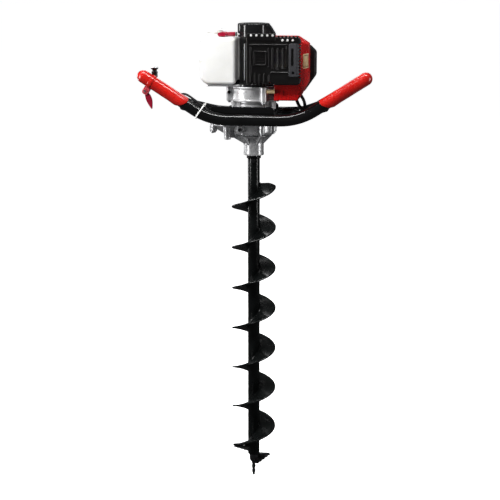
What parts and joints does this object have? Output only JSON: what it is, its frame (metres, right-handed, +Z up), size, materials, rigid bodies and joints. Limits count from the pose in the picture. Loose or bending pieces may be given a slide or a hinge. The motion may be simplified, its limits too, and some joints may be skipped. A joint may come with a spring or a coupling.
{
  "type": "ice fishing auger",
  "caption": "Petrol one-man ice auger: vertical-crank engine and geared head in a wide two-tube handlebar, driving a long helical bit with cutters and a pilot point.",
  "frame": {"origin": "on the bit's axis, at the height of the handlebar's straight tubes", "axes": "+Z up along the bit's axis to the starter cover, +X to the right grip, -X to the throttle grip, -Y to the muffler side"},
  "size_m": [0.5144, 0.19, 1.0493],
  "materials": {
    "black_paint": "gloss",
    "black_plastic": "satin",
    "red_plastic": "gloss",
    "grip": "satin",
    "cast_aluminium": "as cast",
    "steel": "machined",
    "bit_black": "satin",
    "tank_plastic": "translucent",
    "rubber": "matt",
    "foam": "matt",
    "muffler_steel": "heat-stained"
  },
  "bodies": {
    "power_head": {"gearbox_housing": "cast_aluminium", "gearbox_cover": "cast_aluminium", "output_bearing": "steel", "output_seal": "rubber", "input_bearing": "steel", "handlebar_front_tube": "black_paint", "handlebar_rear_tube": "black_paint", "mount_plate_front": "black_paint", "mount_plate_rear": "black_paint", "left_grip": "grip", "right_grip": "grip", "throttle_bracket": "red_plastic", "trigger_pin": "steel", "stop_switch_body": "black_plastic", "throttle_cable": "rubber", "clutch_housing": "cast_aluminium", "crankcase": "black_paint", "cylinder": "cast_aluminium", "spark_plug": "steel", "plug_cap": "rubber", "ignition_coil": "black_plastic", "fan_housing": "black_plastic", "starter_cover": "black_plastic", "muffler": "muffler_steel", "muffler_guard": "black_plastic", "engine_cowl": "red_plastic", "fuel_tank": "tank_plastic", "tank_bracket": "black_paint", "carburettor": "cast_aluminium", "air_filter_cover": "black_plastic", "air_filter_element": "foam", "fuel_line": "rubber"},
    "auger_drive": {"bit_tube": "bit_black", "bit_flight": "bit_black", "pilot_point": "steel", "cutter_blade_left": "steel", "cutter_blade_right": "steel", "bit_cross_bolt": "steel", "output_shaft": "steel", "output_gear": "steel"},
    "intermediate_shaft": {"intermediate_pinion_shaft": "steel", "intermediate_gear": "steel"},
    "input_shaft": {"input_pinion_shaft": "steel", "clutch_drum": "steel"},
    "crankshaft": {"crank_upper_half": "steel", "crank_lower_half": "steel", "flywheel_fan": "cast_aluminium"},
    "left_clutch_shoe": {"clutch_shoe_left": "steel"},
    "right_clutch_shoe": {"clutch_shoe_right": "steel"},
    "piston_assembly": {"piston": "cast_aluminium", "wrist_pin": "steel"},
    "rod_assembly": {"connecting_rod": "steel", "crankpin": "steel"},
    "pull_handle": {"starter_handle": "red_plastic"},
    "rope_pulley": {"starter_pulley": "black_plastic"},
    "trigger": {"throttle_trigger": "red_plastic"},
    "carburettor_throttle": {"throttle_arm": "steel"},
    "stop_switch_button": {"stop_button": "steel"},
    "choke": {"choke_lever": "black_plastic"},
    "tank_cap": {"fuel_cap": "tank_plastic"}
  },
  "joints": [
    {"name": "auger_spin", "type": "hinge", "parent": "power_head", "child": "auger_drive", "pos_m": [0, 0, 0], "axis": [0, 0, 1], "continuous": true},
    {"name": "intermediate_spin", "type": "hinge", "parent": "power_head", "child": "intermediate_shaft", "pos_m": [-0.04725, 0, 0], "axis": [0, 0, 1], "continuous": true},
    {"name": "input_spin", "type": "hinge", "parent": "power_head", "child": "input_shaft", "pos_m": [0, 0, 0], "axis": [0, 0, 1], "continuous": true},
    {"name": "crank_spin", "type": "hinge", "parent": "power_head", "child": "crankshaft", "pos_m": [0, 0, 0], "axis": [0, 0, 1], "continuous": true},
    {"name": "left_shoe_out", "type": "slide", "parent": "crankshaft", "child": "left_clutch_shoe", "axis": [-1, 0, 0], "range_m": [0, 0.0018], "stiffness_N_per_m": 500},
    {"name": "right_shoe_out", "type": "slide", "parent": "crankshaft", "child": "right_clutch_shoe", "axis": [1, 0, 0], "range_m": [0, 0.0018], "stiffness_N_per_m": 500},
    {"name": "piston_stroke", "type": "slide", "parent": "power_head", "child": "piston_assembly", "axis": [1, 0, 0], "range_m": [-0.032, 0]},
    {"name": "rod_swing", "type": "hinge", "parent": "piston_assembly", "child": "rod_assembly", "pos_m": [0.068, 0, 0.124], "axis": [0, 0, 1], "range_deg": [-18, 18]},
    {"name": "starter_pull", "type": "slide", "parent": "power_head", "child": "pull_handle", "axis": [-1, 0, 0], "range_m": [0, 0.05], "stiffness_N_per_m": 60},
    {"name": "pulley_spin", "type": "hinge", "parent": "power_head", "child": "rope_pulley", "pos_m": [0, 0, 0.184], "axis": [0, 0, 1], "range_deg": [-160, 0]},
    {"name": "trigger_squeeze", "type": "hinge", "parent": "power_head", "child": "trigger", "pos_m": [-0.23207, -0.06, 0.06173], "axis": [0, -1, 0], "range_deg": [0, 28], "stiffness_Nm_per_rad": 0.08},
    {"name": "throttle_arm_turn", "type": "hinge", "parent": "power_head", "child": "carburettor_throttle", "pos_m": [0.064, 0.064, 0.141], "axis": [0, 0, 1], "range_deg": [0, 70]},
    {"name": "stop_press", "type": "slide", "parent": "power_head", "child": "stop_switch_button", "axis": [0, 0, -1], "range_m": [0, 0.003], "stiffness_N_per_m": 300},
    {"name": "choke_turn", "type": "hinge", "parent": "power_head", "child": "choke", "pos_m": [0.044, 0.094, 0.11], "axis": [-1, 0, 0], "range_deg": [0, 60]},
    {"name": "fuel_cap_turn", "type": "hinge", "parent": "power_head", "child": "tank_cap", "pos_m": [-0.09, 0.022, 0.185], "axis": [0, 0, 1], "range_deg": [0, 360]}
  ],
  "couplings": [
    {"joint": "intermediate_spin", "follows": "auger_spin", "ratio": -5},
    {"joint": "input_spin", "follows": "auger_spin", "ratio": 30},
    {"joint": "right_shoe_out", "follows": "left_shoe_out", "ratio": 1},
    {"joint": "pulley_spin", "follows": "starter_pull", "rad_per_m": -55.5},
    {"joint": "throttle_arm_turn", "follows": "trigger_squeeze", "ratio": 2.5}
  ]
}
